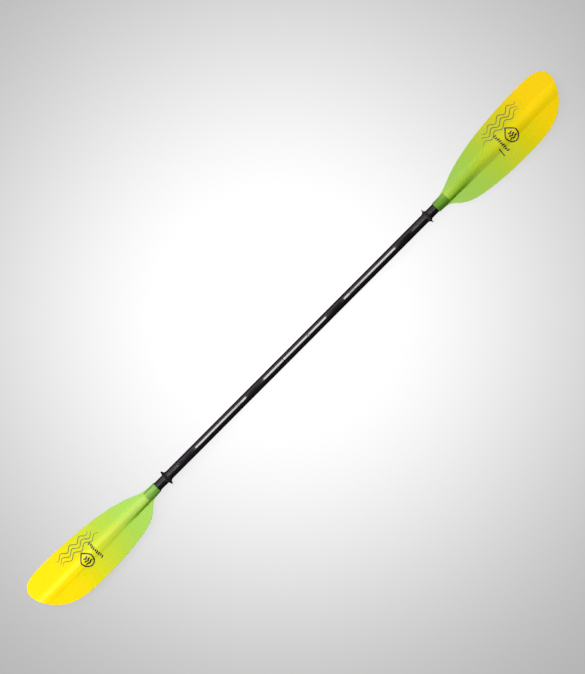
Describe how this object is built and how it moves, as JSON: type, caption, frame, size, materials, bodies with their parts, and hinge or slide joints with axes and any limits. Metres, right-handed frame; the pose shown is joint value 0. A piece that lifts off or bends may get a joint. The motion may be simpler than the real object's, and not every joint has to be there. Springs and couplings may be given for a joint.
{
  "type": "kayak paddle",
  "caption": "Two-piece touring kayak paddle with a bent shaft, a push-button ferrule, drip rings and asymmetric blades with a raised rib.",
  "frame": {"origin": "on the shaft's axis, halfway between the two blade tips", "axes": "+X along the shaft towards the half with the ferrule's sleeve; +Y towards the long edges of the blades; +Z out of the blades' power faces"},
  "size_m": [2.2994, 0.1705, 0.0631],
  "materials": {
    "shaft_carbon": "satin woven carbon laminate",
    "blade_laminate": "glossy tinted glass-fibre laminate",
    "ring_rubber": "matt moulded rubber",
    "ferrule_plastic": "fine-grained moulded composite",
    "sleeve_laminate": "wound glass-fibre tube",
    "plug_foam": "closed-cell foam",
    "button_steel": "brushed stainless steel"
  },
  "bodies": {
    "right_half": {"right_shaft": "shaft_carbon", "right_shaft_plug": "plug_foam", "right_blade_face": "blade_laminate", "right_blade_back": "blade_laminate", "right_blade_spar": "plug_foam", "ferrule_collar": "ferrule_plastic", "ferrule_sleeve": "sleeve_laminate", "sleeve_plug": "plug_foam"},
    "index_tip": {"index_tip": "ferrule_plastic", "detent_plunger": "button_steel", "tip_screw": "button_steel", "tip_washer": "button_steel", "spring_washer": "button_steel"},
    "left_half": {"left_shaft": "shaft_carbon", "left_shaft_plug": "plug_foam", "left_blade_face": "blade_laminate", "left_blade_back": "blade_laminate", "left_blade_spar": "plug_foam", "ferrule_spigot": "ferrule_plastic", "spigot_plug": "plug_foam", "spigot_o_ring": "ring_rubber"},
    "snap_button": {"snap_button_spring": "button_steel"},
    "right_ring": {"right_drip_ring": "ring_rubber"},
    "left_ring": {"left_drip_ring": "ring_rubber"}
  },
  "joints": [
    {"name": "pull_apart", "type": "slide", "parent": "right_half", "child": "index_tip", "axis": [-1, 0, 0], "range_m": [0, 0.16]},
    {"name": "feather_turn", "type": "hinge", "parent": "index_tip", "child": "left_half", "pos_m": [0, 0, 0], "axis": [1, 0, 0], "range_deg": [-60, 60], "deforming": ["detent_plunger"]},
    {"name": "button_press", "type": "slide", "parent": "index_tip", "child": "snap_button", "axis": [0, 0, -1], "range_m": [0, 0.003], "stiffness_N_per_m": 900, "deforming": ["snap_button_spring"]},
    {"name": "right_ring_slide", "type": "slide", "parent": "right_half", "child": "right_ring", "axis": [1, 0, 0], "range_m": [-0.04, 0.025]},
    {"name": "left_ring_slide", "type": "slide", "parent": "left_half", "child": "left_ring", "axis": [-1, 0, 0], "range_m": [-0.035, 0.03]}
  ]
}
